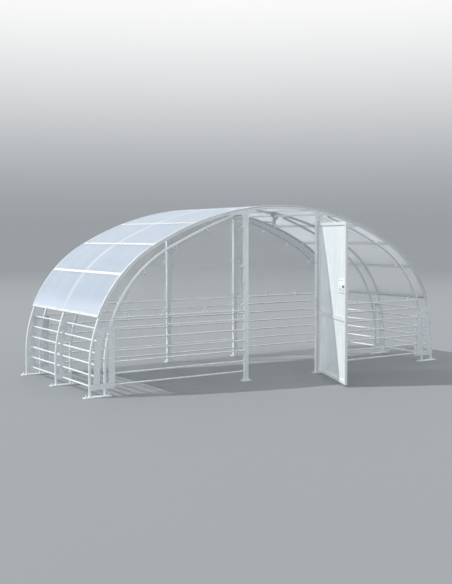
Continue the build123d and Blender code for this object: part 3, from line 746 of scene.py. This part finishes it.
class SHELTER_OT_roof_screws(bpy.types.Operator):
    """Sealed screws along the cover strips, the edge trims and the eaves"""
    bl_idname = "shelter.roof_screws"
    bl_label = "Roof screws"

    def execute(self, context):
        s, outer = sizes(), outer_arch()
        top = s.outer_tube / 2 + s.sheet_thickness + s.strip_thickness
        low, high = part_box("cover_strips")
        count = round((high.y - low.y) / s.roof_screw_pitch)
        rows = [low.y + (high.y - low.y) * (i + 0.5) / count for i in range(count)]
        eave = s.eave_turn + s.eave_inset / s.outer_side_radius
        places = [(turn, y) for turn in (*s.strip_turns, outer.turn_at(s.post_x), eave) for y in rows]
        trim_low, trim_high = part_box("front_roof_trim")
        trim_y = (trim_low.y + trim_high.y) / 2
        for i in range(TRIM_SCREWS):
            turn = eave + (math.pi / 2 - eave) * (i + 0.5) / TRIM_SCREWS
            places += [(turn, trim_y), (turn, -trim_y)]
        screws, seals = Gathered(), Gathered()
        rubber_high, cup_high = 0.0018, 0.0012
        rubber_ring = washer(s.screw_washer * 0.76, rubber_high)
        cup = washer(s.screw_washer * 0.85, cup_high)
        head = hexagon(s.screw_head * 0.8, s.screw_head * 0.42, chamfer=0.0008)
        for turn, y in places:
            x, z = outer.at(turn, top)
            for side in (-1, 1):
                seat = facing((side * x, y, z), (side * math.cos(turn), 0, math.sin(turn)))
                seals.add(rubber_ring, seat)
                screws.add(cup, seat @ raised(rubber_high))
                # The heads along a strip stand turned unlike each other.
                screws.add(head, seat @ raised(rubber_high + cup_high) @ spun(40 * y))
        screws.piece("roof_screws", "bolt_zinc", "frame", "roof_strip")
        seals.piece("roof_screw_seals", "rubber_seal", "frame", "black_knob")
        return {"FINISHED"}


class SHELTER_OT_welds(bpy.types.Operator):
    """Weld beads where rails, legs, posts and lugs meet what carries them"""
    bl_idname = "shelter.welds"
    bl_label = "Welds"

    def execute(self, context):
        self.rail_welds()
        self.foot_welds()
        self.lug_welds()
        return {"FINISHED"}

    def rail_welds(self):
        """Rings round the ends of the wall rails."""
        s, outer = sizes(), outer_arch()
        bead = ring_bead(s.rail_tube, s.weld_size)
        shape = Gathered()
        front, _, back = ribs()
        half_post, half = s.post_width / 2, s.outer_tube / 2
        for z in [s.face_rail_first + i * s.face_rail_pitch for i in range(RAILS)] + [s.top_rail]:
            for y in (front, back):
                for side in (-1, 1):
                    shape.add(bead, facing((side * (s.post_x + half_post), y, z), (side, 0, 0)))
                    if z < s.top_rail:
                        shape.add(bead, facing((side * s.flange_x, y, z), (-side, 0, 0)))
            for side in (-1, 1):
                shape.add(bead, facing((side * (s.post_x - half_post), back, z), (-side, 0, 0)))
        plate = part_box("middle_foot_plates")[0].y
        for i in range(RAILS):
            z = s.side_rail_first + i * s.side_rail_pitch
            x = outer.x_at(z) - s.foot_strip_inset
            for side in (-1, 1):
                for y, way in ((front - half, 1), (plate, -1), (-half, 1), (back + half, -1)):
                    shape.add(bead, facing((side * x, y, z), (0, way, 0)))
        shape.piece("rail_welds", "hot_dip_rod", "frame", "galvanised_tube")

    def foot_welds(self):
        """Rings round the legs and beads round the posts, on the base plates."""
        s = sizes()
        shape = Gathered()
        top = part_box("arch_base_plates")[1].z
        ring = ring_bead(s.outer_tube, s.weld_size * 1.3, sides=28)
        for y in ribs():
            for x in (s.half_span, s.half_span - s.leg_gap):
                for side in (-1, 1):
                    shape.add(ring, Matrix.Translation((side * x, y, top)))
        low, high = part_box("front_posts")
        for side in (-1, 1):
            for flip in (-1, 1):
                x0, x1 = side * s.post_x - s.post_width / 2, side * s.post_x + s.post_width / 2
                y0, y1 = flip * low.y, flip * high.y
                corners = [(x0, y0, top), (x1, y0, top), (x1, y1, top), (x0, y1, top)]
                for start, end in zip(corners, corners[1:] + corners[:1]):
                    shape.add(line_bead(start, end, s.weld_size))
        shape.piece("foot_welds", "hot_dip_rod", "frame", "galvanised_tube")

    def lug_welds(self):
        """A blob under each foot of a lug."""
        s = sizes()
        front, _, back = ribs()
        blob = turned([(0, -0.002), (0.0055, -0.001), (0.0062, 0.0012), (0.0045, 0.0035), (0, 0.0046)],
                      sides=10)
        shape = Gathered()
        for y, centre in ((front, False), (back, True)):
            for (x, z), (dx, dz) in lug_places(centre):
                for side in (-1, 1):
                    foot = (x - dz * side * s.lug_width / 2, y, z + dx * side * s.lug_width / 2)
                    shape.add(blob, facing(foot, (dx, 0, dz)))
        shape.piece("lug_welds", "hot_dip_rod", "frame", "galvanised_rod")


class SHELTER_OT_door_lock(bpy.types.Operator):
    """Lock case with its screws and keyholes, and the turn knobs"""
    bl_idname = "shelter.door_lock"
    bl_label = "Door lock"

    def execute(self, context):
        # The case lies a millimetre under the inner face of the stile.
        outside, inside = shut_box("door_sheets")[0].y, shut_box("door_stiles")[1].y - 0.001
        faces = ((inside, 1), (outside, -1))
        self.case(inside)
        self.fixings(faces)
        self.knobs(faces)
        return {"FINISHED"}

    def case(self, inside):
        """A flat case with a raised rim and a slightly raised middle."""
        low, high = shut_box("door_lock_plate")
        depth, rim = inside - low.y, sizes().lock_rim
        seat = on_door() @ facing(((low.x + high.x) / 2, low.y, (low.z + high.z) / 2), (0, 1, 0))
        shape = Gathered()
        # Up the side, over its edge, across the rim, down to the face and up onto the raised middle.
        shape.add(rounded(high.x - low.x, high.z - low.z, corner=0.006, steps=[
            (0, 0), (0, depth - 0.001), (0.001, depth), (rim, depth), (rim + 0.0015, depth - 0.0015),
            (rim + 0.012, depth - 0.0015), (rim + 0.013, depth - 0.0005)]), seat)
        case = shape.piece("lock_case", "strip_zinc_sheet", "door", "galvanised_sheet")
        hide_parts("door_lock_plate")

    def fixings(self, faces):
        """Screws in the corners of the case, and a rose and a keyhole on each face of the door."""
        s, turn = sizes(), on_door()
        low, high = shut_box("door_lock_plate")
        knob_low, knob_high = shut_box("door_knobs")
        edge, inside = s.lock_rim / 2, faces[0][0]
        screw = button(width=0.007, height=0.002)
        shape = Gathered()
        for x in (low.x + edge, high.x - edge):
            for z in (low.z + edge, high.z - edge):
                shape.add(screw, turn @ facing((x, inside, z), (0, 1, 0)))
        knob_x, knob_z = (knob_low.x + knob_high.x) / 2, (knob_low.z + knob_high.z) / 2
        rose = washer(knob_high.x - knob_low.x + 0.012, thickness=0.003)
        keyhole = turned([(0, 0), (0.014, 0), (0.014, 0.002), (0.0125, 0.0035), (0.009, 0.0035),
                          (0.0075, 0.001), (0, 0.001)], sides=24)
        for y, way in faces:
            shape.add(rose, turn @ facing((knob_x, y, knob_z), (0, way, 0)))
            shape.add(keyhole, turn @ facing((knob_x, y, knob_z - s.keyhole_drop), (0, way, 0)))
        shape.piece("lock_fixings", "bolt_zinc", "door", "hinge_steel")

    def knobs(self, faces):
        """A waisted turn knob with a wing across it, on each face of the door."""
        low, high = shut_box("door_knobs")
        radius, depth = (high.x - low.x) / 2, sizes().knob_depth
        # Out of the rose, up the waist and round the grip to its hollow top.
        knob = turned([(0, 0.003), (radius * 0.62, 0.003), (radius * 0.5, 0.006), (radius * 0.5, depth * 0.5),
                       (radius * 0.92, depth * 0.58), (radius, depth * 0.66), (radius, depth * 0.9),
                       (radius * 0.9, depth), (radius * 0.62, depth), (radius * 0.55, depth * 0.95),
                       (0, depth * 0.95)], sides=40)
        wing = rounded(radius * 1.3, 0.006, corner=0.003, steps=[(0, 0), (0, 0.003), (0.001, 0.004)])
        shape = Gathered()
        for y, way in faces:
            place = on_door() @ facing(((low.x + high.x) / 2, y, (low.z + high.z) / 2), (0, way, 0))
            shape.add(knob, place)
            shape.add(wing, place @ raised(depth * 0.95) @ spun(math.pi / 2))
        pair = shape.piece("turn_knobs", "black_nylon", "door", "black_knob")
        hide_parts("door_knobs")


class SHELTER_OT_door_fixings(bpy.types.Operator):
    """Rivets round the door sheets, dark beads at their joints that are partly painted shade, and the welds of the
    door and its hinges
    """
    bl_idname = "shelter.door_fixings"
    bl_label = "Door fixings"

    def execute(self, context):
        self.rivets()
        self.joints()
        self.welds()
        return {"FINISHED"}

    def rivets(self):
        """Blind rivets along the edges of both sheets, on both faces, but none under the lock cover."""
        s, turn = sizes(), on_door()
        low, high = shut_box("door_sheets")
        lock_low, lock_high = shut_box("door_lock_plate")
        inset, rivet = s.rivet_inset, button(width=0.009, height=0.0028)
        width = high.x - low.x - 2 * inset
        xs = [low.x + inset + width * i / RIVETS_ACROSS for i in range(RIVETS_ACROSS + 1)]
        zs = [low.z + inset, s.mid_rail_low - inset, s.mid_rail_high + inset, high.z - inset]
        spots = [(x, z) for x in xs for z in zs]
        for x in (xs[0], xs[-1]):
            for bottom, top, spaces in ((zs[0], zs[1], RIVETS_LOW), (zs[2], zs[3], RIVETS_HIGH)):
                spots += [(x, bottom + (top - bottom) * i / spaces) for i in range(1, spaces)]
        shape = Gathered()
        for x, z in spots:
            hidden = (lock_low.x < x < lock_high.x + inset
                      and lock_low.z - inset < z < lock_high.z + inset)
            for y, way in ((low.y, -1), (high.y, 1)):
                if not (hidden and way > 0):
                    shape.add(rivet, turn @ facing((x, y, z), (0, way, 0)))
        shape.piece("door_rivets", "bolt_zinc", "door", "hinge_steel")

    def joints(self):
        """Dark beads where the two sheets meet the middle rail: partly a joint bead and partly painted shade of
        the gap there.
        """
        s = sizes()
        low, high = shut_box("door_sheets")
        shape = Gathered()
        for y in (low.y, high.y):
            for z in (s.mid_rail_low, s.mid_rail_high):
                # The darkness of these beads is partly painted shade of the gaps at the middle rail.
                shape.add(line_bead((low.x, y, z), (high.x, y, z), s.sealant, ripple=1.0), on_door())
        shape.piece("door_sealant_and_shade", "rubber_seal", "door", "black_knob")

    def welds(self):
        """Butt welds where the rails meet the stiles, and the welds of the hinge halves."""
        s, turn = sizes(), on_door()
        low, high = shut_box("door_stiles")
        tube = s.door_tube_width
        rails = ((low.z, low.z + tube), (s.mid_rail_low, s.mid_rail_high), (high.z - tube, high.z))
        door, post = Gathered(), Gathered()
        for x in (low.x + tube, high.x - tube):
            for z0, z1 in rails:
                for y in (low.y, high.y):
                    door.add(upright_bead(x, y, z0, z1, short=0.003, size=s.weld_size * 0.7), turn)
        edge, face, size = high.x + 0.0005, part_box("front_posts")[0].y, s.weld_size * 0.6
        for z in s.hinge_heights:
            for y in (high.y, high.y - s.hinge_tab):
                door.add(upright_bead(edge, y, z, z + s.hinge_half, short=0.004, size=size), turn)
            for side in (-1, 1):
                x = s.post_x + side * s.hinge_tab / 2
                post.add(upright_bead(x, face, z - s.hinge_half, z, short=0.003, size=size))
        door.piece("door_welds", "hot_dip_rod", "door", "galvanised_door_tube")
        post.piece("hinge_welds", "hot_dip_rod", "frame", "galvanised_tube")


class SHELTER_OT_stage(bpy.types.Operator):
    """Floor, lamps, backdrop and camera"""
    bl_idname = "shelter.stage"
    bl_label = "Stage"

    def execute(self, context):
        self.floor()
        self.lamps()
        self.camera()
        context.scene.view_settings.view_transform = "Standard"
        return {"FINISHED"}

    def floor(self):
        """A wide pale floor that fades into the backdrop far from the shelter."""
        material, add, shader, place = new_material("studio_floor")
        c = colours()
        feed(shader, {"Base Color": rgba(c.floor), "Roughness": 0.85})
        far = add("VectorMath", {0: place}, operation="LENGTH")
        fade = add("MapRange", {"Value": (far, "Value"), "From Min": FADE_START, "From Max": FADE_END},
                   interpolation_type="SMOOTHSTEP")
        glow = add("Emission", {"Color": rgba(c.backdrop)})
        mixed = add("MixShader", {0: fade, 1: shader, 2: glow})
        feed(material.node_tree.get_output_node("ALL"), {"Surface": mixed})
        mesh = bpy.data.meshes.new("studio_floor")
        corners = [(x * FLOOR_REACH, y * FLOOR_REACH, 0) for x, y in ((-1, -1), (1, -1), (1, 1), (-1, 1))]
        mesh.from_pydata(corners, [], [(0, 1, 2, 3)])
        mesh.materials.append(material)
        placed("studio_floor", mesh)

    def lamps(self):
        """A key lamp from the left and behind, and even light that the camera and reflections don't see."""
        view, c = bpy.context.scene.shelter_view, colours()
        sun = bpy.data.lights.new("key_lamp", "SUN")
        sun.energy = view.sun_power
        sun.angle = view.sun_size
        placed("key_lamp", sun, facing((-8, 4, 8), view.sun_from))
        world = bpy.data.worlds.new("studio")
        world.use_nodes = True
        world.node_tree.nodes.clear()
        add = partial(add_node, world.node_tree)
        ray = add("LightPath")
        shiny = add("Math", {0: (ray, "Is Glossy Ray"), 1: (ray, "Is Transmission Ray")}, operation="MAXIMUM")
        seen = add("Math", {0: (ray, "Is Camera Ray"), 1: shiny}, operation="MAXIMUM")
        even = add("Background", {"Color": rgba(c.even), "Strength": view.sky_power})
        place = add("TexCoord")
        rise = add("SeparateXYZ", {0: (place, "Generated")})
        overhead = add("MapRange", {"Value": (rise, "Z"), "From Min": 0.0, "From Max": 0.30},
                       interpolation_type="SMOOTHSTEP")
        shade = add("Mix", {0: overhead, MIX_A: rgba(c.backdrop), MIX_B: rgba(c.overhead)},
                    data_type="RGBA")
        shown = add("Background", {"Color": (shade, MIXED), "Strength": 1.0})
        both = add("MixShader", {0: seen, 1: even, 2: shown})
        add("OutputWorld", {"Surface": both})
        bpy.context.scene.world = world

    def camera(self):
        """The photograph's viewpoint."""
        view = bpy.context.scene.shelter_view
        level = math.cos(view.pitch)
        ahead = Vector((math.sin(view.heading) * level, math.cos(view.heading) * level, math.sin(view.pitch)))
        right = Vector((math.cos(view.heading), -math.sin(view.heading), 0))
        up = right.cross(ahead)
        tilted = math.cos(view.roll) * right + math.sin(view.roll) * up
        upright = -math.sin(view.roll) * right + math.cos(view.roll) * up
        turn = Matrix((tilted, upright, -ahead)).transposed().to_4x4()
        data = bpy.data.cameras.new("camera")
        data.sensor_fit = "VERTICAL"
        data.sensor_height = 36.0
        data.lens = view.focal * data.sensor_height / PHOTO_HEIGHT
        data.clip_end = 300
        bpy.context.scene.camera = placed("camera", data, Matrix.Translation(view.eye) @ turn)


OPERATORS = (SHELTER_OT_stage, SHELTER_OT_finishes, SHELTER_OT_anchors, SHELTER_OT_bolts,
             SHELTER_OT_panel_screws, SHELTER_OT_roof_screws, SHELTER_OT_welds, SHELTER_OT_door_lock,
             SHELTER_OT_door_fixings)


class SHELTER_PT_panel(bpy.types.Panel):
    """Lists the pieces of the shelter and their sizes and colours"""
    bl_idname = "SHELTER_PT_panel"
    bl_label = "Bike shelter"
    bl_space_type = "VIEW_3D"
    bl_region_type = "UI"
    bl_category = "Shelter"

    def draw(self, context):
        column = self.layout.column()
        for operator in OPERATORS:
            column.operator(operator.bl_idname)
        for group in (context.scene.shelter_sizes, context.scene.shelter_colours, context.scene.shelter_view):
            for name in group.__annotations__:
                column.prop(group, name)


GROUPS = {"shelter_sizes": ShelterSizes, "shelter_colours": ShelterColours, "shelter_view": ShelterView}


def register():
    for cls in (*GROUPS.values(), *OPERATORS, SHELTER_PT_panel):
        bpy.utils.register_class(cls)
    for name, group in GROUPS.items():
        setattr(bpy.types.Scene, name, PointerProperty(type=group))


def unregister():
    for name in GROUPS:
        delattr(bpy.types.Scene, name)
    for cls in (SHELTER_PT_panel, *reversed(OPERATORS), *GROUPS.values()):
        bpy.utils.unregister_class(cls)


def main():
    register()
    bpy.ops.shelter.stage()
    bpy.ops.shelter.finishes()
    bpy.ops.shelter.anchors()
    bpy.ops.shelter.bolts()
    bpy.ops.shelter.panel_screws()
    bpy.ops.shelter.roof_screws()
    bpy.ops.shelter.welds()
    bpy.ops.shelter.door_lock()
    bpy.ops.shelter.door_fixings()


if __name__ == "__main__":
    main()
